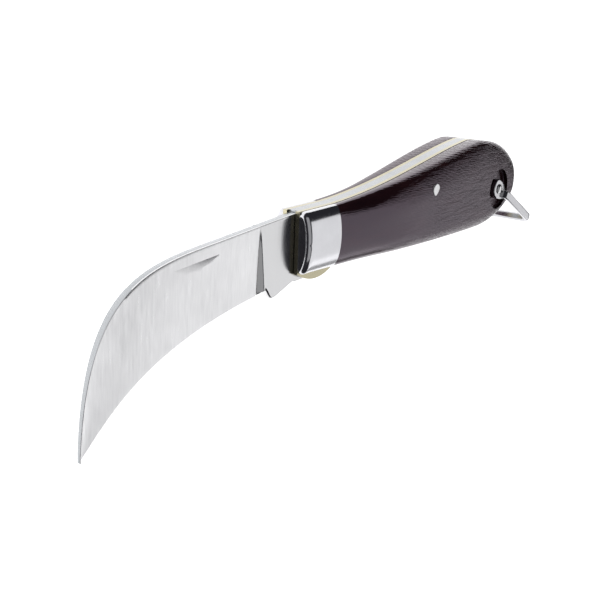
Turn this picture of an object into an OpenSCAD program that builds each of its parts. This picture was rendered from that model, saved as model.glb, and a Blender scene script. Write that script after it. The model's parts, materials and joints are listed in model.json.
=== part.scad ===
// Folding pocket knife with a hawkbill blade, a slip-joint back spring and a wire bail at the butt.
// Millimetres. It lies on its pile side: +X towards the butt, +Y towards the back of the handle, +Z up.
// Outlines are drawn about the blade pivot, with the mid-plane of the blade at z = 0, and moved at the end.

/* [Piece to draw] */
// Sub-part to draw, or all of them

/* [Blade] */
// Thickness of the tang
blade_t = 2.1; // [1.6:0.1:2.1]
// Thickness of the spine at the tip
tip_t = 0.8; // [0.5:0.1:1.6]
// Thickness left at the cutting edge
edge_t = 0.12; // [0.1:0.02:0.4]
// Radius of the round tang about the pivot
tang_r = 6.6; // [6:0.1:6.6]
// Deepest cut of the nail nick
nick_depth = 0.45; // [0.2:0.05:0.5]

/* [Handle] */
// Thickness of the back spring, which is also the width of the blade slot
spring_t = 2.4; // [2.4:0.1:2.6]
// Thickness of each liner
liner_t = 1; // [0.6:0.1:1.2]
// Half thickness of the handle across the bolsters
bolster_half = 5.2; // [4.8:0.1:5.6]
// Half thickness of the handle across the scales
scale_half = 8.9; // [8:0.1:9.2]
// Half width of the flat along the back and the belly of the handle at the bolsters
flat_half = 3.1; // [2.8:0.1:3.6]
// Height of the back of the handle above the pivot at the butt
butt_top = 18.3; // [16:0.2:19]

/* [Pins] */
// Radius of the blade pivot
pivot_r = 1.75; // [1.5:0.05:2]
// Radial running clearance of the blade and the bail on their pins
run_gap = 0.05; // [0.02:0.01:0.09]
// Radius of the centre pin
centre_r = 1.6; // [1.2:0.1:2]
// Radius of the bail pin
bail_pin_r = 1.3; // [1:0.1:1.6]
// Radius of each hidden bolster rivet
rivet_r = 0.8; // [0.6:0.1:1]

/* [Bail] */
// Distance from the bail pin to the outside of the cross bar
bail_len = 26.2; // [24:0.2:30]
// Width of the bail strip
bail_w = 2.4; // [2:0.1:3]
// Thickness of the bail strip
bail_t = 1.3; // [1:0.1:1.6]
// Thickness of the cross bar
bar_t = 1.6; // [1:0.1:2]
// Angle of the bail from straight out, as it is drawn
bail_angle = -28; // [-90:5:90]

/* [Hidden] */
$fn = 64;

// Lobe of the liners below the bolsters: a circle kept between two heights
lobe_pos = [0.6, 5.4];
lobe_r = 12.3;
lobe_len = 19;
lobe_low = -12;
lobe_high = 14;

// Handle outline: front of the bolsters, the joint with the scales, the start of the round butt
front_x = -6.5;
front_top = 9.3;
front_bottom = -4.8;
joint_x = 5.8;
joint_top = 9.4;
joint_bottom = -5.1;
butt_x = 70.9;
butt_bottom = -6;
butt_len = 23;
butt_mid = (butt_top + butt_bottom) / 2;
butt_half = (butt_top - butt_bottom) / 2;
back_curve = [[joint_x, joint_top], [31, 10.4], [53, butt_top - 1.7], [butt_x, butt_top]];
belly_curve = [[joint_x, joint_bottom], [31, -6], [53, butt_bottom], [butt_x, butt_bottom]];

// Half thickness of the slot and of the metal on each side of it
slot_half = spring_t / 2;
metal_half = slot_half + liner_t;
thick_x = 72;
butt_round = 4.5;

// Pins
pivot_pos = [0, 0];
centre_pos = [44.2, 8.4];
bail_pos = [80.2, 4.2];
rivet_pos = [[-3.6, 5.4], [3.4, -2.1]];
rivet_top = 4;
centre_end = 7.95;

// Bail and the recess its ends turn in
recess_r = 5.8;
recess_floor = scale_half - 1.3;
tab_t = 1.2;
tab_low = recess_floor + 0.15;
head_low = tab_low + tab_t + 0.15;
head_r = 2;
head_h = 0.5;
leg_low = scale_half + 0.25;
leg_high = leg_low + bail_t;
jog_start = 3.7;
jog_len = 1.6;
bail_round = 2.6;

// Blade outline
spine_front = [-17.8, 7.9];
spine_bend = [-30.7, 6.85];
tip = [-66.6, -27.3];
spine_curve = [spine_bend, [-51.4, 5.3], [-64.1, 4.3], tip];
edge_curve = [[-17.2, -7.35], [-50.2, -10.9], [-58, -19.9], tip + [0.25, -0.2]];
spine_share = 0.2;
shoulder_x = -5.95;
shoulder_top = 8.85;

// Where the drawing frame sits in the part's own frame
centre_x = 18.93;
centre_y = -4.6;
lift = leg_high;

function bezier(p, t) =
    pow(1 - t, 3) * p[0] + 3 * pow(1 - t, 2) * t * p[1] + 3 * (1 - t) * t * t * p[2] + pow(t, 3) * p[3];

// Outline heights at a run of stations: [x, back, belly]
function scale_stations() = concat(
    [for (i = [0 : 20])
        let (b = bezier(back_curve, i / 20), u = bezier(belly_curve, i / 20)) [b[0], b[1], u[1]]],
    [for (i = [1 : 14]) let (a = 6.25 * i)
        [butt_x + butt_len * sin(a), butt_mid + butt_half * cos(a), butt_mid - butt_half * cos(a)]]);
function bolster_stations() = [[front_x, front_top, front_bottom], [joint_x, joint_top, joint_bottom]];

// Half thickness of the handle at x: it swells behind the bolsters and rounds over at the butt
function swell(x) = bolster_half
    + (scale_half - bolster_half) * sin(90 * min(1, max(0, (x - joint_x) / (thick_x - joint_x))));
function round_off(x) =
    let (d = max(0, x - (butt_x + butt_len - butt_round)))
    butt_round - sqrt(max(0, butt_round * butt_round - d * d));
function half_at(x) = swell(x) - round_off(x);
function flat_at(x) = flat_half + (half_at(x) - bolster_half) * 0.9;

// One section of a handle side as a closed ring in the plane x = s[0], from the back round to the belly
ring_n = 20;
function ring(s) = concat(
    [[s[0], s[1], 0]],
    [for (i = [0 : ring_n]) let (a = 180 * i / ring_n, h = half_at(s[0]), f = flat_at(s[0]))
        [s[0],
         (s[1] + s[2]) / 2 + (s[1] - s[2]) / 2 * sign(cos(a)) * pow(abs(cos(a)), 0.67),
         f + (h - f) * pow(sin(a), 0.67)]],
    [[s[0], s[2], 0]]);

// A solid through a list of closed rings that all have the same number of points
module loft(rings) {
    n = len(rings[0]);
    last = len(rings) - 1;
    points = [for (r = rings) each r];
    sides = [for (k = [0 : last - 1]) for (i = [0 : n - 1])
        let (a = k * n + i, b = k * n + (i + 1) % n)
        each [[a, a + n, b], [b, a + n, b + n]]];
    start = [[for (i = [0 : n - 1]) i]];
    end = [[for (i = [n - 1 : -1 : 0]) last * n + i]];
    polyhedron(points = points, faces = concat(start, sides, end), convexity = 6);
}

// Everything on the mark side is drawn for z > 0 and mirrored for the pile side
module in_frame() {
    translate([-centre_x, -centre_y, lift])
        children();
}

module pile_side() {
    mirror([0, 0, 1])
        children();
}

// Cylinder along Z at a pin position, between two heights
module post(pos, r, low, high) {
    translate([pos[0], pos[1], low])
        cylinder(r = r, h = high - low);
}

module handle_outline() {
    s = concat([bolster_stations()[0]], scale_stations());
    polygon(concat(
        [for (p = s) [p[0], p[1]]],
        [for (i = [len(s) - 1 : -1 : 0]) [s[i][0], s[i][2]]]));
}

// The liner carries a round lobe below the bolster that covers the tang
module liner_plate() {
    translate([0, 0, slot_half])
        linear_extrude(liner_t)
            handle_outline();
}

module liner_lobe() {
    intersection() {
        translate([lobe_pos[0], lobe_pos[1], slot_half])
            cylinder(h = liner_t, r = lobe_r);
        translate([front_x, lobe_low, slot_half])
            cube([lobe_len, lobe_high, liner_t]);
    }
}

module liner() {
    difference() {
        union() {
            liner_plate();
            liner_lobe();
        }
        post(pivot_pos, pivot_r, 0, 10);
        post(centre_pos, centre_r, 0, 10);
        post(bail_pos, bail_pin_r, 0, 10);
        for (p = rivet_pos)
            post(p, rivet_r, 0, 10);
    }
}

module bolster() {
    difference() {
        loft([for (s = bolster_stations()) ring(s)]);
        translate([front_x - 5, -30, -1])
            cube([30, 60, 1 + metal_half]);
        post(pivot_pos, pivot_r, 0, 10);
        for (p = rivet_pos)
            post(p, rivet_r, 0, rivet_top);
    }
}

module scale_side() {
    difference() {
        loft([for (s = scale_stations()) ring(s)]);
        translate([joint_x - 5, -30, -1])
            cube([120, 60, 1 + metal_half]);
        post(centre_pos, centre_r, 0, 12);
        post(bail_pos, bail_pin_r, 0, 12);
        post(bail_pos, recess_r, recess_floor, 12);
    }
}

// Lower side of the spring: over the tang, along the slot, round the centre pin and down inside the butt
module spring_slot() {
    difference() {
        polygon([[-20, -30], [-20, 6.75], [3.5, 6.75], [8, 5.3], [18, 5.25], [34, 7.4], [41, 8.4],
            [47.4, 8.4], [57, 11], [66, 12.2], [71.5, 12], [73.2, 10.2], [73.2, -30]]);
        translate(centre_pos)
            circle(r = 3);
    }
}

module spring_outline() {
    difference() {
        handle_outline();
        spring_slot();
        translate([front_x - 1, 0])
            square([0.75 + 1, 20]);
    }
}

// Tang: shoulder in front of the spring, flat under it, round about the pivot, kick and choil notch below
module tang_outline() {
    circle(r = tang_r);
    polygon([spine_front, [shoulder_x, shoulder_top], [shoulder_x, tang_r], [0, tang_r], [0, 0],
        [-1, -tang_r + 0.08],
        [-6.5, -6.6], [-13.2, -8.95], [-13.9, -8.9], [-16.3, -6.7]]);
}

// Outline points of the ground part: the spine and the edge at t from 0 behind the plunge to 1 at the tip
function spine_at(t) = t < spine_share
    ? spine_front + (spine_bend - spine_front) * t / spine_share
    : bezier(spine_curve, (t - spine_share) / (1 - spine_share));
function spine_half(t) = blade_t / 2 + (tip_t - blade_t) / 2 * t;

function grind_ring(t) = let (s = spine_at(t), e = bezier(edge_curve, t), h = spine_half(t))
    [[s[0], s[1], h], [s[0], s[1], -h], [e[0], e[1], -edge_t / 2], [e[0], e[1], edge_t / 2]];
function root_ring(x, in, h) = [
    [spine_front[0] + x, spine_front[1] - in, h],
    [spine_front[0] + x, spine_front[1] - in, -h],
    [-16.3 + x, -6.7 + in, -h], [-16.3 + x, -6.7 + in, h]];

module ground_blade() {
    loft(concat(
        [root_ring(0.6, 0.2, blade_t / 2 - 0.06), root_ring(-0.05, 0, blade_t / 2 - 0.01)],
        [for (i = [1 : 32]) grind_ring(i / 32)]));
}

// A slightly coned wheel leaves a straight upper wall and a crescent below it
module nail_nick() {
    wheel_r = 46;
    translate([-37, 3.75, 0.78 + wheel_r - nick_depth])
        rotate([0, 0, 4.3])
            rotate([90, 0, 0])
                cylinder(r1 = wheel_r, r2 = wheel_r - nick_depth - 0.1, h = 2.2, $fn = 128);
}

module blade() {
    color("silver")
        in_frame()
            difference() {
                union() {
                    translate([0, 0, -blade_t / 2])
                        linear_extrude(blade_t)
                            tang_outline();
                    ground_blade();
                }
                post(pivot_pos, pivot_r + run_gap, -5, 5);
                nail_nick();
            }
}

module back_spring() {
    color("lightgray")
        in_frame()
            difference() {
                translate([0, 0, -slot_half])
                    linear_extrude(spring_t)
                        spring_outline();
                post(centre_pos, centre_r, -5, 5);
                post(bail_pos, bail_pin_r, -5, 5);
            }
}

module mark_liner() {
    color("goldenrod")
        in_frame()
            liner();
}

module pile_liner() {
    color("goldenrod")
        in_frame()
            pile_side()
                liner();
}

module mark_bolster() {
    color("gainsboro")
        in_frame()
            bolster();
}

module pile_bolster() {
    color("gainsboro")
        in_frame()
            pile_side()
                bolster();
}

module mark_scale() {
    color("saddlebrown")
        in_frame()
            scale_side();
}

module pile_scale() {
    color("saddlebrown")
        in_frame()
            pile_side()
                scale_side();
}

module pivot_pin() {
    color("gainsboro")
        in_frame()
            post(pivot_pos, pivot_r, -5, 5);
}

module centre_pin() {
    color("gainsboro")
        in_frame()
            post(centre_pos, centre_r, -centre_end, centre_end);
}

// Two rivets hold each bolster to its liner
module bolster_rivets() {
    color("gainsboro")
        in_frame()
            for (p = rivet_pos) {
                post(p, rivet_r, slot_half, rivet_top);
                post(p, rivet_r, -rivet_top, -slot_half);
            }
}

module bail_pin() {
    color("lightgray")
        in_frame()
            translate([bail_pos[0], bail_pos[1], 0])
                rotate_extrude()
                    union() {
                        translate([0, -head_low - head_h])
                            square([bail_pin_r, 2 * (head_low + head_h)]);
                        translate([0, head_low])
                            polygon([[0, 0], [head_r, 0], [head_r - 0.35, head_h * 0.7],
                                [1, head_h], [0, head_h]]);
                        translate([0, -head_low])
                            polygon([[0, 0], [0, -head_h], [1, -head_h],
                                [head_r - 0.35, -head_h * 0.7], [head_r, 0]]);
                    }
}

// End of the bail: a paddle round the pin that narrows to the leg
module bail_tab() {
    translate([0, 0, tab_low])
        linear_extrude(tab_t)
            union() {
                circle(r = 2.9);
                polygon([[0, -2.9], [jog_start + 0.8, -1.7], [jog_start + 0.8, 1.7], [0, 2.9]]);
            }
}

// Side view of the strip, length along x: two legs outside the scales, the cross bar, a step in to each end
module bar_corner(x, half, r) {
    union() {
        translate([0, -half])
            square([x - r, 2 * half]);
        translate([0, -half + r])
            square([x, 2 * (half - r)]);
        translate([x - r, half - r])
            circle(r = r);
        translate([x - r, -half + r])
            circle(r = r);
    }
}

module bail_strip() {
    rotate([90, 0, 0])
        translate([0, 0, -bail_w / 2])
            linear_extrude(bail_w)
                difference() {
                    bar_corner(bail_len, leg_high, bail_round);
                    bar_corner(bail_len - bar_t, leg_low, bail_round - bail_t);
                    translate([-1, -20])
                        square([1 + jog_start, 40]);
                }
    for (side = [-1, 1])
        translate([jog_start, -bail_w / 2, side > 0 ? tab_low : -leg_high])
            cube([jog_len, bail_w, leg_high - tab_low]);
}

module bail() {
    color("lightgray")
        in_frame()
            translate([bail_pos[0], bail_pos[1], 0])
                rotate([0, 0, bail_angle])
                    difference() {
                        union() {
                            bail_strip();
                            bail_tab();
                            pile_side()
                                bail_tab();
                        }
                        post([0, 0], bail_pin_r + run_gap, -20, 20);
                    }
}

blade();
back_spring();
mark_liner();
pile_liner();
mark_bolster();
pile_bolster();
mark_scale();
pile_scale();
pivot_pin();
centre_pin();
bolster_rivets();
bail_pin();
bail();
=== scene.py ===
"""Folding hawkbill knife: detailed meshes, materials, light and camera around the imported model.

Shapes are given in millimetres about the blade pivot, along the frame's axes: +X to the butt,
+Y to the back, +Z out of the mark side. place() turns them into metres in the frame.
"""

import json
import math

import bmesh
import bpy
from mathutils import Matrix, Vector


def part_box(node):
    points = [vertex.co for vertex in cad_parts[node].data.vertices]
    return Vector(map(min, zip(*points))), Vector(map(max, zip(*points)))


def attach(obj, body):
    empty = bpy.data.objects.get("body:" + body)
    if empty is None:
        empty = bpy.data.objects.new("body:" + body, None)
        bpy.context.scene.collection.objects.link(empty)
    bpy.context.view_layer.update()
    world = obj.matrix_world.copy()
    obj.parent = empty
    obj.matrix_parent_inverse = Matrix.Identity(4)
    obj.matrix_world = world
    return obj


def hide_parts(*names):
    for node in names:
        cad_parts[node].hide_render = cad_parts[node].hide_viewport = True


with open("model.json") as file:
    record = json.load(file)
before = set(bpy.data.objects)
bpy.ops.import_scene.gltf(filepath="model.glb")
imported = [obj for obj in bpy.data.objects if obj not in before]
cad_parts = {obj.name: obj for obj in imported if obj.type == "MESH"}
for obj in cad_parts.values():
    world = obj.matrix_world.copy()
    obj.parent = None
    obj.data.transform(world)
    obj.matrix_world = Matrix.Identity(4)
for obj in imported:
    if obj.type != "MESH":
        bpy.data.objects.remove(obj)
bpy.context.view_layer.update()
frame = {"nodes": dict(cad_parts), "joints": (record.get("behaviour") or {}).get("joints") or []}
scene = bpy.context.scene

MM = 0.001
JOINTS = {joint["name"]: joint for joint in frame["joints"]}
PIVOT = Vector(JOINTS["blade_fold"]["pos_m"])
BAIL_PIVOT = Vector(JOINTS["bail_swing"]["pos_m"])


def place(x, y, z):
    """A point in millimetres about the blade pivot, as a point of the row frame in metres."""
    return PIVOT + Vector((x, y, z)) * MM


def mm_box(node):
    """Lowest and highest corner of a CAD node in millimetres about the blade pivot."""
    low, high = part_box(node)
    return (Vector(low) - PIVOT) / MM, (Vector(high) - PIVOT) / MM


# ---------------------------------------------------------------- measures from the frame

BOLSTER_LOW, BOLSTER_HIGH = mm_box("mark_bolster")
SCALE_LOW, SCALE_HIGH = mm_box("mark_scale")
TANG_HALF = mm_box("blade")[1].z
BAIL_PIN = (BAIL_PIVOT - PIVOT) / MM

# Side view of the handle
FRONT_X, FRONT_TOP, FRONT_BOTTOM = BOLSTER_LOW.x, 9.3, -4.8
JOINT_X, JOINT_TOP, JOINT_BOTTOM = BOLSTER_HIGH.x, 9.4, -5.1
BUTT_X, BUTT_TOP, BUTT_BOTTOM = 70.9, SCALE_HIGH.y, SCALE_LOW.y
BUTT_END = 93.9
BACK_CURVE = [(JOINT_X, JOINT_TOP), (31.0, 10.4), (53.0, BUTT_TOP - 1.7), (BUTT_X, BUTT_TOP)]
BELLY_CURVE = [(JOINT_X, JOINT_BOTTOM), (31.0, -6.0), (53.0, BUTT_BOTTOM), (BUTT_X, BUTT_BOTTOM)]

# Thickness of the handle
METAL_HALF = BOLSTER_LOW.z
BOLSTER_HALF, SCALE_HALF = BOLSTER_HIGH.z, SCALE_HIGH.z
THICK_X = 72.0
BUTT_ROUND = 4.5

# Section of the handle: flat edges, round corners and a fine groove along the liner
SWELL_LENGTH = 26.0
EDGE_SETBACK, EDGE_LEAST = 3.2, 0.3
BOLSTER_EDGE_TOP, BOLSTER_EDGE_LOW = 3.1, 2.6
BACK_ROUND, BELLY_ROUND = 7.5, 4.6
GROOVE = 0.22
GROOVE_LIP = [(1.0, 0.0), (0.3, 0.7), (0.0, 1.5)]
ARC_STEPS, SIDE_STEPS = 18, 6

# Where the scale's sections stand: shares of the side curves, then degrees round the butt
SIDE_STATIONS = 90
BUTT_ANGLES = [2.5 * i for i in range(1, 36)] + [89]

# Ends of the bolster and the recess for the bail
BOLSTER_ROUND = 1.3
ROUND_RINGS, BOLSTER_RINGS = 9, 12
RECESS_DEPTH, RECESS_R, RECESS_FILLET = 1.3, 5.75, 0.25
RECESS_STEPS = 96


def bezier(points, t):
    """A point of a cubic curve."""
    w = ((1 - t) ** 3, 3 * (1 - t) ** 2 * t, 3 * (1 - t) * t * t, t**3)
    return tuple(sum(w[i] * points[i][k] for i in range(4)) for k in range(2))


def smooth(t):
    """Eases from 0 to 1."""
    t = min(1.0, max(0.0, t))
    return t * t * (3 - 2 * t)


def mix(a, b, t):
    """The value a share t of the way from a to b."""
    return a + (b - a) * t


# ---------------------------------------------------------------- mesh helpers

# Radius of the tiny flat that closes a turned piece on its axis
AXIS_RADIUS = 0.01


def add_object(name, mesh, material, body, node, sharp=35):
    """Puts a mesh in the scene, rides it on a body and lets it stand for a CAD node."""
    for polygon in mesh.polygons:
        polygon.use_smooth = True
    mesh.set_sharp_from_angle(angle=math.radians(sharp))
    mesh.materials.clear()
    mesh.materials.append(material)
    obj = bpy.data.objects.new(name, mesh)
    scene.collection.objects.link(obj)
    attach(obj, body)
    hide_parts(node)
    return obj


def tube_mesh(name, rings):
    """A closed mesh through a list of rings with the same number of points, capped at both ends."""
    mesh = bpy.data.meshes.new(name)
    n = len(rings[0])
    points = [p for ring in rings for p in ring]
    faces = []
    for k in range(len(rings) - 1):
        for i in range(n):
            j = (i + 1) % n
            faces.append((k * n + i, k * n + j, (k + 1) * n + j, (k + 1) * n + i))
    faces.append(tuple(reversed(range(n))))
    faces.append(tuple(range((len(rings) - 1) * n, len(rings) * n)))
    mesh.from_pydata(points, [], faces)
    mesh.validate()
    bm = bmesh.new()
    bm.from_mesh(mesh)
    bmesh.ops.recalc_face_normals(bm, faces=bm.faces)
    bm.to_mesh(mesh)
    bm.free()
    return mesh


def solid_from_outline(name, outline, low, high, bevel=0.0, segments=2):
    """A flat plate from a closed outline in millimetres, with rounded rims."""
    bm = bmesh.new()
    bottom = [bm.verts.new(place(x, y, low)) for x, y in outline]
    top = [bm.verts.new(place(x, y, high)) for x, y in outline]
    n = len(outline)
    caps = [bm.faces.new(list(reversed(bottom))), bm.faces.new(top)]
    for i in range(n):
        j = (i + 1) % n
        bm.faces.new((bottom[i], bottom[j], top[j], top[i]))
    if bevel:
        rims = {e for face in caps for e in face.edges}
        bmesh.ops.bevel(
            bm, geom=list(rims), offset=bevel * MM, segments=segments, profile=0.5, affect="EDGES"
        )
    bmesh.ops.recalc_face_normals(bm, faces=bm.faces)
    mesh = bpy.data.meshes.new(name)
    bm.to_mesh(mesh)
    bm.free()
    return mesh


def lathe_mesh(name, profile, centre, steps):
    """A turned piece about Z: profile is a list of (radius, height), closed on the axis."""
    turns = [2 * math.pi * i / steps for i in range(steps)]
    rings = []
    for radius, height in profile:
        r = max(radius, AXIS_RADIUS)
        rings.append([place(centre[0] + r * math.cos(a), centre[1] + r * math.sin(a), height) for a in turns])
    return tube_mesh(name, rings)


def cut(mesh, cutter):
    """The mesh with the cutter's shape taken out of it."""
    obj = bpy.data.objects.new("cut_target", mesh)
    tool = bpy.data.objects.new("cut_tool", cutter)
    scene.collection.objects.link(obj)
    scene.collection.objects.link(tool)
    modifier = obj.modifiers.new("cut", "BOOLEAN")
    modifier.operation = "DIFFERENCE"
    modifier.solver = "EXACT"
    modifier.object = tool
    bpy.context.view_layer.update()
    result = bpy.data.meshes.new_from_object(obj.evaluated_get(bpy.context.evaluated_depsgraph_get()))
    for o in (obj, tool):
        bpy.data.objects.remove(o)
    return result


def join(name, meshes):
    """One mesh from several."""
    bm = bmesh.new()
    for mesh in meshes:
        bm.from_mesh(mesh)
    out = bpy.data.meshes.new(name)
    bm.to_mesh(out)
    bm.free()
    return out


def mirrored(name, mesh):
    """The mesh of the pile side: the mark side's, mirrored in the plane of the blade."""
    bm = bmesh.new()
    bm.from_mesh(mesh)
    flip = Matrix.Translation(PIVOT) @ Matrix.Scale(-1, 4, (0, 0, 1)) @ Matrix.Translation(-PIVOT)
    bmesh.ops.transform(bm, matrix=flip, verts=bm.verts)
    bmesh.ops.reverse_faces(bm, faces=bm.faces)
    out = bpy.data.meshes.new(name)
    bm.to_mesh(out)
    bm.free()
    return out


# ---------------------------------------------------------------- materials


class Nodes:
    """A material and short calls to add and link its nodes."""

    def __init__(self, name):
        self.material = bpy.data.materials.new(name)
        self.material.use_nodes = True
        self.tree = self.material.node_tree
        self.shader = self.tree.nodes["Principled BSDF"]
        self.point = self.add("ShaderNodeTexCoord").outputs["Object"]

    def add(self, kind, **inputs):
        """A new node with values or links on its named inputs."""
        node = self.tree.nodes.new(kind)
        for key, value in inputs.items():
            self.put(node.inputs[key.replace("_", " ")], value)
        return node

    def put(self, socket, value):
        """Links an output to the socket, or sets the socket to a plain value."""
        if isinstance(value, bpy.types.NodeSocket):
            self.tree.links.new(value, socket)
        else:
            socket.default_value = value

    def set(self, **inputs):
        """Values or links on the shader's own inputs."""
        for key, value in inputs.items():
            self.put(self.shader.inputs[key.replace("_", " ")], value)

    def scaled(self, x, y, z, turn=0.0):
        """The object coordinates, scaled along each axis and turned about Z."""
        node = self.add("ShaderNodeMapping", Vector=self.point)
        node.inputs["Scale"].default_value = (x, y, z)
        node.inputs["Rotation"].default_value = (0, 0, turn)
        return node.outputs["Vector"]

    def noise(self, vector, scale, detail, rough=0.5, distortion=0.0):
        """Cloudy noise from 0 to 1."""
        node = self.add(
            "ShaderNodeTexNoise",
            Vector=vector,
            Scale=scale,
            Detail=detail,
            Roughness=rough,
            Distortion=distortion,
        )
        return node.outputs["Fac"]

    def ramp(self, factor, *stops):
        """A colour ramp from (position, colour) stops."""
        node = self.add("ShaderNodeValToRGB", Fac=factor)
        elements = node.color_ramp.elements
        while len(elements) < len(stops):
            elements.new(0.5)
        for element, (position, colour) in zip(elements, stops):
            element.position = position
            element.color = (*colour, 1)
        return node.outputs["Color"]

    def span(self, value, low, high, to_low=0.0, to_high=1.0):
        """Maps the range low to high onto to_low to to_high and stops at both ends."""
        node = self.add("ShaderNodeMapRange", Value=value)
        sockets = ("From Min", "From Max", "To Min", "To Max")
        for key, number in zip(sockets, (low, high, to_low, to_high)):
            node.inputs[key].default_value = number
        return node.outputs["Result"]

    def multiply(self, a, b):
        """The product of two values or links."""
        node = self.add("ShaderNodeMath")
        node.operation = "MULTIPLY"
        self.put(node.inputs[0], a)
        self.put(node.inputs[1], b)
        return node.outputs[0]

    def blend(self, factor, a, b):
        """The mix of two colours, each a link or a plain (r, g, b)."""
        node = self.add("ShaderNodeMix")
        node.data_type = "RGBA"
        self.put(node.inputs["Factor"], factor)
        for key, colour in (("A", a), ("B", b)):
            self.put(node.inputs[key], (*colour, 1) if isinstance(colour, tuple) else colour)
        return node.outputs["Result"]

    def along_x(self):
        """The object's X coordinate."""
        return self.add("ShaderNodeSeparateXYZ", Vector=self.point).outputs["X"]

    def bump(self, height, strength, distance):
        """A normal tilted by a height, for marks too fine to model."""
        node = self.add("ShaderNodeBump", Height=height, Strength=strength, Distance=distance)
        return node.outputs["Normal"]


def shade(colour, share):
    """The colour with each part scaled by a share."""
    return tuple(c * share for c in colour)


def satin_steel(name, colour, rough, lines, turn=0.0, depth=0.15, polished_with_painted_reflection_from=None):
    """Ground steel with fine straight lines and a soft cloudiness; past the given x it is smoother and
    painted darker, a painted reflection of the bolster's dark front face.
    """
    m = Nodes(name)
    fine = m.noise(m.scaled(lines[0], lines[1], lines[0], turn=turn), 1.0, 4.0, 0.6)
    cloud = m.noise(m.point, 90.0, 2.0)
    tone = m.blend(m.span(cloud, 0.3, 0.7), shade(colour, 0.93), colour)
    ground = m.blend(m.span(fine, 0.25, 0.75, 0, 0.16), tone, (0.42, 0.42, 0.44))
    roughness = m.span(fine, 0.2, 0.8, rough - 0.05, rough + 0.08)
    if polished_with_painted_reflection_from is not None:
        # Towards the tang the lower roughness is real polish, and the darker colour is a painted reflection
        # of the bolster's dark front.
        polish_and_painted_reflection = m.span(m.along_x(), polished_with_painted_reflection_from, polished_with_painted_reflection_from + 0.6 * MM)
        roughness = m.multiply(roughness, m.span(polish_and_painted_reflection, 0, 1, 1, 0.6))
        ground = m.blend(polish_and_painted_reflection, ground, shade(colour, 0.74))
    m.set(Base_Color=ground, Metallic=1.0, Roughness=roughness, Normal=m.bump(fine, depth, 0.00003))
    return m.material


def polished_metal(name, colour, rough):
    """Buffed metal with a faint unevenness and hairline marks."""
    m = Nodes(name)
    cloud = m.noise(m.point, 160.0, 3.0, 0.6)
    hair = m.noise(m.scaled(9000, 500, 900, turn=0.5), 1.0, 2.0, 0.6)
    m.set(
        Base_Color=m.blend(m.span(cloud, 0.35, 0.65), shade(colour, 0.94), colour),
        Metallic=1.0,
        Roughness=m.span(hair, 0.3, 0.75, rough, rough + 0.05),
        Normal=m.bump(cloud, 0.12, 0.0002),
    )
    return m.material


def lacquered_wood(name):
    """Dark red-brown hardwood under gloss lacquer, its fine wavy grain standing out towards the butt."""
    m = Nodes(name)
    figure = m.noise(m.scaled(70, 260, 260), 1.0, 4.0, 0.55, 1.2)
    wave = m.add("ShaderNodeTexWave", Vector=m.scaled(150, 900, 900), Scale=1.0, Distortion=7.0, Detail=3.0)
    wave.inputs["Detail Scale"].default_value = 1.3
    wave.wave_type, wave.bands_direction = "BANDS", "Y"
    pores = m.noise(m.scaled(1100, 7000, 7000), 1.0, 3.0, 0.6)
    towards_butt = m.span(m.along_x(), PIVOT.x + 22 * MM, PIVOT.x + 46 * MM, 0.12, 1.0)
    ridges = m.multiply(wave.outputs["Fac"], towards_butt)
    brown = m.ramp(
        figure,
        (0.3, (0.016, 0.004, 0.005)),
        (0.55, (0.032, 0.008, 0.009)),
        (0.8, (0.060, 0.016, 0.015)),
    )
    m.set(
        Base_Color=m.blend(m.span(pores, 0.35, 0.7, 0, 0.45), brown, (0.012, 0.004, 0.004)),
        Roughness=m.span(ridges, 0.0, 1.0, 0.08, 0.28),
        Specular_Tint=(0.97, 0.74, 1.0, 1),
        IOR=1.62,
        Normal=m.bump(ridges, 0.4, 0.00012),
    )
    return m.material


BLADE_STEEL = satin_steel(
    "satin blade steel",
    (0.89, 0.89, 0.90),
    0.30,
    (2600, 160),
    turn=-0.12,
    depth=0.12,
    polished_with_painted_reflection_from=PIVOT.x - 18.5 * MM,
)
SPRING_STEEL = satin_steel("ground spring steel", (0.44, 0.455, 0.47), 0.26, (400, 3000))
NICKEL = polished_metal("polished nickel silver", (0.64, 0.64, 0.665), 0.12)
PIN_METAL = polished_metal("polished pin", (0.70, 0.70, 0.71), 0.18)
BRASS = polished_metal("ground brass", (0.50, 0.46, 0.32), 0.24)
BAIL_STEEL = polished_metal("plated bail steel", (0.55, 0.55, 0.57), 0.14)
WOOD = lacquered_wood("lacquered dark wood")


# ---------------------------------------------------------------- handle sides


def side_station(t):
    """(x, back, belly) of the outline at a share t of the curves from the bolster to the butt."""
    back, belly = bezier(BACK_CURVE, t), bezier(BELLY_CURVE, t)
    return back[0], back[1], belly[1]


def butt_station(angle):
    """(x, back, belly) of the outline round the butt, from 0 where the curves end to pi/2 at the tip."""
    middle, half = (BUTT_TOP + BUTT_BOTTOM) / 2, (BUTT_TOP - BUTT_BOTTOM) / 2
    x = BUTT_X + (BUTT_END - BUTT_X) * math.sin(angle)
    return x, middle + half * math.cos(angle), middle - half * math.cos(angle)


def half_at(x):
    """Half thickness of the handle at x: it swells all the way to the butt and rounds over there."""
    swell = math.sin(math.pi / 2 * min(1, max(0, (x - JOINT_X) / (THICK_X - JOINT_X))))
    into = max(0.0, x - (BUTT_END - BUTT_ROUND))
    drop = BUTT_ROUND - math.sqrt(max(0.0, BUTT_ROUND**2 - into**2))
    return mix(BOLSTER_HALF, SCALE_HALF, swell) - drop


def corner(edge, side, depth):
    """Quarter ellipse from the flat edge round to the side: (distance in from the outline, z)."""
    turns = [math.pi / 2 * i / ARC_STEPS for i in range(ARC_STEPS + 1)]
    return [(depth * (1 - math.cos(a)), edge + (side - edge) * math.sin(a)) for a in turns]


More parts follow.
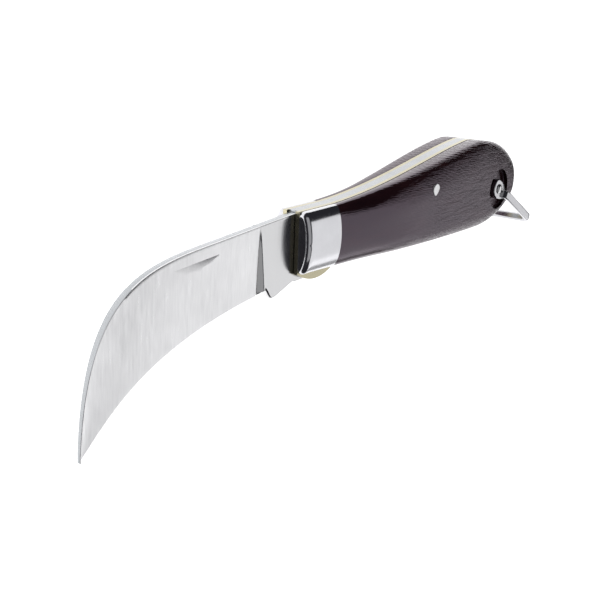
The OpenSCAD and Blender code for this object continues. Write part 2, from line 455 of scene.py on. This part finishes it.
def section(x, back, belly):
    """Half section of the handle as (y, z), from the liner at the back round the side to the belly."""
    swell = smooth((x - JOINT_X) / SWELL_LENGTH)
    side = half_at(x)
    half_height = (back - belly) / 2
    flat = max(side - EDGE_SETBACK, METAL_HALF + EDGE_LEAST)
    top = min(mix(half_height, BACK_ROUND, swell), half_height)
    low = min(mix(half_height, BELLY_ROUND, swell), half_height)
    middle = back - belly - top - low
    lip = [(inward * GROOVE, METAL_HALF + outward * GROOVE) for inward, outward in GROOVE_LIP]
    upper = lip + corner(mix(BOLSTER_EDGE_TOP, flat, swell), side, top)
    lower = lip + corner(mix(BOLSTER_EDGE_LOW, flat, swell), side, low)
    points = [(back - inward, z) for inward, z in upper]
    points += [(back - top - middle * i / SIDE_STEPS, side) for i in range(1, SIDE_STEPS)]
    points += [(belly + inward, z) for inward, z in reversed(lower)]
    return points


def inset(points, amount):
    """The same section drawn in towards its middle, for a rounded end."""
    ys = [y for y, _ in points]
    middle = (max(ys) + min(ys)) / 2
    half = (max(ys) - min(ys)) / 2
    top = max(z for _, z in points)
    ky, kz = (half - amount) / half, (top - METAL_HALF - amount) / (top - METAL_HALF)
    return [(middle + (y - middle) * ky, METAL_HALF + (z - METAL_HALF) * kz) for y, z in points]


def scale_mesh():
    """One wood scale, with the round recess that the bail's paddle turns in."""
    stations = [side_station(i / SIDE_STATIONS) for i in range(SIDE_STATIONS + 1)]
    stations += [butt_station(math.radians(a)) for a in BUTT_ANGLES]
    rings = [[place(x, y, z) for y, z in section(x, back, belly)] for x, back, belly in stations]
    floor_z, above = SCALE_HALF - RECESS_DEPTH, SCALE_HALF + 3
    recess = [
        (0, floor_z),
        (RECESS_R - RECESS_FILLET, floor_z),
        (RECESS_R, floor_z + RECESS_FILLET),
        (RECESS_R, above),
        (0, above),
    ]
    return cut(tube_mesh("scale", rings), lathe_mesh("recess", recess, BAIL_PIN, RECESS_STEPS))


def bolster_ring(x, drawn_in=0.0):
    """The bolster's section at x, drawn in for the rounded front end."""
    t = (x - FRONT_X) / (JOINT_X - FRONT_X)
    shape = section(JOINT_X, mix(FRONT_TOP, JOINT_TOP, t), mix(FRONT_BOTTOM, JOINT_BOTTOM, t))
    return [place(x, y, z) for y, z in inset(shape, drawn_in)]


def bolster_mesh():
    """One bolster, rounded over at the front."""
    rings = []
    for i in range(ROUND_RINGS):
        a = math.pi / 2 * i / ROUND_RINGS
        x = FRONT_X + BOLSTER_ROUND * (1 - math.cos(a))
        rings.append(bolster_ring(x, BOLSTER_ROUND * (1 - math.sin(a))))
    for i in range(BOLSTER_RINGS + 1):
        rings.append(bolster_ring(mix(FRONT_X + BOLSTER_ROUND, JOINT_X, i / BOLSTER_RINGS)))
    return tube_mesh("bolster", rings)


mark_scale_mesh = scale_mesh()
add_object("wood_scale_mark", mark_scale_mesh, WOOD, "handle", "mark_scale")
add_object("wood_scale_pile", mirrored("scale_pile", mark_scale_mesh), WOOD, "handle", "pile_scale")
mark_bolster_mesh = bolster_mesh()
add_object("bolster_cap_mark", mark_bolster_mesh, NICKEL, "handle", "mark_bolster")
add_object("bolster_cap_pile", mirrored("bolster_pile", mark_bolster_mesh), NICKEL, "handle", "pile_bolster")


# ---------------------------------------------------------------- blade

# Side view: the spine is straight to the bend, then a curve to the tip; the edge is one curve
SPINE_FRONT, SPINE_BEND, TIP = (-17.8, 7.9), (-30.7, 6.85), (-66.6, -27.3)
SPINE_CURVE = [SPINE_BEND, (-51.4, 5.3), (-64.1, 4.3), TIP]
EDGE_CURVE = [(-17.2, -7.35), (-50.2, -10.9), (-58.0, -19.9), (TIP[0] + 0.1, TIP[1] - 0.1)]
SPINE_SHARE = 0.2
SHOULDER = (-5.95, 8.85)
TANG_R, TANG_BOTTOM = 6.6, -6.6
TANG_ARC = range(-98, 91, 4)

# Where the grind runs out: its start on the tang and its full depth, at the spine and at the edge
PLUNGE_SPINE = [(-17.75, 7.9), (-18.5, 7.9)]
PLUNGE_EDGE = [(-16.3, -6.68), (-18.3, -7.4)]

# Unground tang in front of the bolsters: a point of the spine and the one it meets on the lower side
RICASSO = [
    ((-17.3, 7.94), (-16.0, -6.62)),
    ((-16.8, 7.98), (-15.6, -6.95)),
    ((-16.2, 8.03), (-15.1, -7.55)),
    ((-15.6, 8.08), (-14.7, -8.15)),
    ((-15.0, 8.12), (-14.35, -8.6)),
    ((-14.5, 8.16), (-14.0, -8.85)),
    ((-13.9, 8.21), (-13.6, -8.95)),
    ((-13.2, 8.27), (-13.1, -8.9)),
    ((-12.4, 8.33), (-12.4, -8.68)),
    ((-9.5, 8.57), (-9.5, -7.66)),
    ((-6.5, 8.81), (-6.5, TANG_BOTTOM)),
    (SHOULDER, (SHOULDER[0], TANG_BOTTOM)),
]

# Thickness and rims
TIP_HALF, EDGE_HALF, HOLLOW = 0.4, 0.04, 0.05
EDGE_TAPER, SPINE_TAPER = 0.05, 2.5
RIM, CHOIL_RIM, CHOIL_LENGTH = 0.26, 0.8, 5.0
BLADE_RINGS, PLUNGE_RINGS, RING_STEPS = 110, 10, 26
FIRST_SHARE, RING_CROWDING = 0.012, 1.25

# Nail nick: a wheel of radius WHEEL_R sunk NICK_DEPTH into the face
WHEEL_R, NICK_DEPTH, NICK_WIDTH = 46.0, 0.45, 2.3
WHEEL_STEPS = 512
NICK_X, NICK_Y, NICK_FACE, NICK_TURN = -37.0, 3.75, 0.87, 4.3


def spine_at(t):
    """The point of the spine at a share t of the way from the tang to the tip."""
    if t < SPINE_SHARE:
        return tuple(mix(SPINE_FRONT[k], SPINE_BEND[k], t / SPINE_SHARE) for k in range(2))
    return bezier(SPINE_CURVE, (t - SPINE_SHARE) / (1 - SPINE_SHARE))


def blade_ring(upper, lower, ground, spine_half, edge_half, foot=RIM):
    """A closed section between a point of the spine and one of the edge.

    ground runs from 0 on the tang to 1 where the grind is full, and foot is the width of the lower rim.
    """
    start, end = Vector((*upper, 0)), Vector((*lower, 0))
    length = (start - end).length
    face = []
    for i in range(RING_STEPS + 1):
        s = i / RING_STEPS
        hollow = mix(spine_half, edge_half, s) - HOLLOW * math.sin(math.pi * s) * ground
        face.append((s, mix(spine_half, max(hollow, edge_half), ground)))
    rim = RIM / length
    front = [
        (0.0, 0.0),
        (0.0, spine_half - RIM),
        (rim * 0.3, spine_half - RIM * 0.3),
        (rim, spine_half - 0.01),
    ]
    front += [(max(s, rim * 1.5), z) for s, z in face[1:-1]]
    low_half = face[-1][1]
    low_rim = min(foot, low_half * 1.5) / length
    front += [
        (1 - low_rim, low_half),
        (1 - low_rim * 0.3, low_half * 0.75),
        (1.0, low_half * 0.4),
        (1.0, 0.0),
    ]
    ring = front + [(s, -z) for s, z in reversed(front[1:-1])]
    return [place(*((start + (end - start) * s).xy), z) for s, z in ring]


def nick_cutter():
    """The rim of a large wheel that stands across the blade and dips into its face."""
    rim = (WHEEL_R - NICK_DEPTH - 0.1, NICK_WIDTH)
    cutter = lathe_mesh("nick", [(0, 0), (WHEEL_R, 0), rim, (0, NICK_WIDTH)], (0, 0), WHEEL_STEPS)
    turn = Matrix.Rotation(math.radians(NICK_TURN), 4, "Z") @ Matrix.Rotation(math.radians(90), 4, "X")
    centre = place(NICK_X, NICK_Y, NICK_FACE + WHEEL_R - NICK_DEPTH)
    cutter.transform(Matrix.Translation(centre) @ turn @ Matrix.Translation(-PIVOT))
    cutter.update()
    return cutter


def blade_mesh():
    """The ground blade from tip to tang with its nail nick, and the round tang between the liners."""
    rings = []
    for i in range(BLADE_RINGS, -1, -1):
        t = mix(FIRST_SHARE, 1.0, (i / BLADE_RINGS) ** RING_CROWDING)
        spine_half = mix(TANG_HALF, TIP_HALF, t**SPINE_TAPER)
        edge_half = EDGE_HALF + EDGE_TAPER * (1 - t)
        rings.append(blade_ring(spine_at(t), bezier(EDGE_CURVE, t), 1.0, spine_half, edge_half))
    for i in range(PLUNGE_RINGS - 1, -1, -1):
        step = i / PLUNGE_RINGS
        upper, lower = (
            [mix(start[k], full[k], step) for k in range(2)] for start, full in (PLUNGE_SPINE, PLUNGE_EDGE)
        )
        rings.append(blade_ring(upper, lower, smooth(step), TANG_HALF, EDGE_HALF + EDGE_TAPER))
    for upper, lower in RICASSO:
        foot = mix(CHOIL_RIM, RIM, smooth((upper[0] - RICASSO[0][0][0]) / CHOIL_LENGTH))
        rings.append(blade_ring(upper, lower, 0.0, TANG_HALF, TANG_HALF, foot=foot))
    blank = cut(tube_mesh("blade", rings), nick_cutter())
    turns = [math.radians(degrees) for degrees in TANG_ARC]
    disc = [(TANG_R * math.cos(a), TANG_R * math.sin(a)) for a in turns]
    outline = [(SHOULDER[0], TANG_BOTTOM), *disc, (SHOULDER[0], TANG_R)]
    tang = solid_from_outline("tang", outline, -TANG_HALF, TANG_HALF)
    return join("hawkbill_blade", [blank, tang])


blade = add_object("hawkbill_blade", blade_mesh(), BLADE_STEEL, "blade", "blade", sharp=28)
blade.data.materials.append(SPRING_STEEL)
# The spine, which faces up and forward rather than sideways, is the darker steel
for polygon in blade.data.polygons:
    if abs(polygon.normal.z) < 0.35 and polygon.normal.y - polygon.normal.x > 0.7:
        polygon.material_index = 1


# ---------------------------------------------------------------- bail


# The bail in its own directions: u along the leg from the pin, z across the handle
BAIL_ANGLE = math.radians(-28)
BAIL_LEN, STRIP_W, BAR_T = 26.2, 2.4, 1.6
LEG_LOW, LEG_HIGH = 9.15, 10.45
LEG_T, LEG_Z = LEG_HIGH - LEG_LOW, (LEG_LOW + LEG_HIGH) / 2
BEND_R, BEND_STEPS = 2.6, 8
JOG_U, JOG_LEN = 3.7, 1.6
PADDLE_LOW, PADDLE_T = 7.75, 1.2
# Half outlines of the paddle and of its neck, as (u, distance from the middle)
PADDLE_HALF = [(-2.7, 0.9), (-2.3, 1.9), (-1.2, 2.5), (0.8, 2.7), (2.3, 2.2)]
NECK_HALF = [(JOG_U + 0.9, 1.5), (JOG_U + 1.25, 1.1)]


def bail_path():
    """Middle line of half the bail from the paddle to the middle of the cross bar, as (u, z, thickness)."""
    path = [
        (JOG_U - 0.6, PADDLE_LOW + 0.6, PADDLE_T),
        (JOG_U + 0.5, PADDLE_LOW + 0.75, PADDLE_T + 0.1),
        (JOG_U + 1.1, LEG_LOW + 0.2, 1.9),
        (JOG_U + JOG_LEN + 0.6, LEG_Z, LEG_T),
        (BAIL_LEN - BEND_R - 1.5, LEG_Z, LEG_T),
    ]
    inner = BEND_R - LEG_T / 2
    for i in range(BEND_STEPS + 1):
        a = math.pi / 2 * i / BEND_STEPS
        u = BAIL_LEN - BAR_T / 2 - inner + inner * math.sin(a)
        z = LEG_Z - inner + inner * math.cos(a)
        path.append((u, z, mix(LEG_T, BAR_T, i / BEND_STEPS)))
    path.append((BAIL_LEN - BAR_T / 2, 3.0, BAR_T))
    path.append((BAIL_LEN - BAR_T / 2, 0.0, BAR_T))
    return path


def strip_section(thick, steps=24):
    """Soft-edged rectangle: offsets (v across the strip's width, n across its thickness)."""
    points = []
    for k in range(steps):
        c, s = math.cos(2 * math.pi * k / steps), math.sin(2 * math.pi * k / steps)
        v = STRIP_W / 2 * math.copysign(abs(c) ** 0.55, c)
        points.append((v, thick / 2 * math.copysign(abs(s) ** 0.6, s)))
    return points


def bail_mesh():
    """A soft-edged strip along one leg, round the cross bar and back, with a paddle at each end."""
    half = bail_path()
    path = half + [(u, -z, thick) for u, z, thick in reversed(half[:-1])]
    out = Vector((math.cos(BAIL_ANGLE), math.sin(BAIL_ANGLE), 0))
    across = Vector((-math.sin(BAIL_ANGLE), math.cos(BAIL_ANGLE), 0))
    rings = []
    for i, (u, z, thick) in enumerate(path):
        before, after = path[max(0, i - 1)], path[min(len(path) - 1, i + 1)]
        run = Vector((after[0] - before[0], after[1] - before[1])).normalized()
        ring = []
        for v, n in strip_section(thick):
            along, side = u - run.y * n, z + run.x * n
            ring.append(BAIL_PIVOT + (out * along + across * v + Vector((0, 0, side))) * MM)
        rings.append(ring)
    strip = tube_mesh("strip", rings)
    other_side = [(u, -v) for u, v in PADDLE_HALF + NECK_HALF]
    around = PADDLE_HALF[::-1] + other_side + NECK_HALF[::-1]
    outline = [BAIL_PIN.xy + out.xy * u + across.xy * v for u, v in around]
    tab = solid_from_outline("tab", outline, PADDLE_LOW, PADDLE_LOW + PADDLE_T, 0.3, 3)
    return join("wire_bail", [strip, tab, mirrored("tab_pile", tab)])


add_object("wire_bail", bail_mesh(), BAIL_STEEL, "bail", "bail", sharp=40)


# ---------------------------------------------------------------- pins and metal strips


PIVOT_R, PIVOT_END = 1.75, 4.2
CENTRE_R, CENTRE_SINK = 1.6, 0.05
PIN_RIM = 0.12
PIN_STEPS = 48
BAIL_HEAD = [(0, 9.6), (0.6, 9.56), (1.1, 9.42), (1.38, 9.2), (1.4, 9.0), (1.3, 8.9)]


def turned_pin(name, centre, half):
    """A pin across the handle from the outline of one end, given as (radius, height) from the axis out."""
    profile = [(r, -h) for r, h in half] + [(r, h) for r, h in reversed(half)]
    return lathe_mesh(name, profile, centre, PIN_STEPS)


def domed_pin(name, centre, radius, end, dome):
    """A pin with slightly domed ends."""
    half = [
        (0, end + dome),
        (radius * 0.5, end + dome * 0.8),
        (radius - PIN_RIM, end + dome * 0.25),
        (radius, end - PIN_RIM),
    ]
    return turned_pin(name, centre, half)


centre_low, centre_high = mm_box("centre_pin")
centre_xy = ((centre_low.x + centre_high.x) / 2, (centre_low.y + centre_high.y) / 2)
centre_end = half_at(centre_xy[0]) - CENTRE_SINK
centre_pin = domed_pin("pin_centre", centre_xy, CENTRE_R, centre_end, 0.1)
add_object("pin_centre", centre_pin, PIN_METAL, "handle", "centre_pin")
pivot_pin = domed_pin("pin_pivot", (0, 0), PIVOT_R, PIVOT_END, 0.02)
add_object("pin_pivot", pivot_pin, NICKEL, "handle", "pivot_pin")
add_object("pin_bail", turned_pin("pin_bail", BAIL_PIN, BAIL_HEAD), PIN_METAL, "handle", "bail_pin")

# The flat metal pieces keep their CAD shapes, with softened edges
CAD_PIECES = [
    ("mark_liner", BRASS),
    ("pile_liner", BRASS),
    ("back_spring", SPRING_STEEL),
    ("bolster_rivets", NICKEL),
]
for node, material in CAD_PIECES:
    obj = frame["nodes"][node]
    obj.data.materials.clear()
    obj.data.materials.append(material)
    soft = obj.modifiers.new("soft_edges", "BEVEL")
    soft.width, soft.segments = 0.1 * MM, 2
    soft.limit_method, soft.angle_limit = "ANGLE", math.radians(40)

# ---------------------------------------------------------------- floor, light and camera

FLOOR_HALF = 12.0

floor_mesh = bpy.data.meshes.new("floor")
corners = [(x * FLOOR_HALF, y * FLOOR_HALF, 0) for x, y in ((-1, -1), (1, -1), (1, 1), (-1, 1))]
floor_mesh.from_pydata(corners, [], [(0, 1, 2, 3)])
floor_look = Nodes("pale floor")
floor_look.set(Base_Color=(0.8, 0.8, 0.8, 1), Roughness=0.9)
floor_look.set(Emission_Color=(1, 1, 1, 1), Emission_Strength=1.2)
floor_mesh.materials.append(floor_look.material)
floor = bpy.data.objects.new("floor", floor_mesh)
scene.collection.objects.link(floor)


def softbox(name, position, target, size, power):
    """A rectangular area light at a position, turned to shine on the target."""
    light = bpy.data.lights.new(name, "AREA")
    light.shape, light.size, light.size_y = "RECTANGLE", size[0], size[1]
    light.energy = power
    obj = bpy.data.objects.new(name, light)
    obj.location = position
    obj.rotation_mode = "QUATERNION"
    obj.rotation_quaternion = (Vector(position) - Vector(target)).to_track_quat("Z", "Y")
    scene.collection.objects.link(obj)


softbox("key", (0.55, -0.22, 0.42), (0, 0, 0.01), (0.7, 0.5), 1.12)
softbox("overhead", (-0.2, 0.0, 0.8), (0, 0, 0), (1.1, 0.9), 1.2)
softbox("belly", (0.594, -0.431, 0.156), (0, 0, 0.01), (0.45, 0.34), 0.2)

world = bpy.data.worlds.new("studio")
world.use_nodes = True
world.node_tree.nodes["Background"].inputs["Color"].default_value = (0.05, 0.05, 0.06, 1)
world.node_tree.nodes["Background"].inputs["Strength"].default_value = 0.5
scene.world = world
scene.view_settings.view_transform = "Standard"

# The camera stands where the photo's perspective puts it, in millimetres about the blade pivot
CAMERA_AT = (-157.81, 49.11, 114.23)
CAMERA_BACK = Vector((-0.76863, 0.30184, 0.56400)).normalized()
CAMERA_UP = Vector((0.22201, 0.95275, -0.20733))
camera_data = bpy.data.cameras.new("camera")
camera_data.lens, camera_data.sensor_width = 53.47, 36.0
camera_data.clip_start, camera_data.clip_end = 0.005, 20.0
camera = bpy.data.objects.new("camera", camera_data)
right = CAMERA_UP.cross(CAMERA_BACK).normalized()
up = CAMERA_BACK.cross(right)
turned = Matrix((right, up, CAMERA_BACK)).transposed().to_4x4()
camera.matrix_world = Matrix.Translation(place(*CAMERA_AT)) @ turned
scene.collection.objects.link(camera)
scene.camera = camera

bpy.context.view_layer.update()
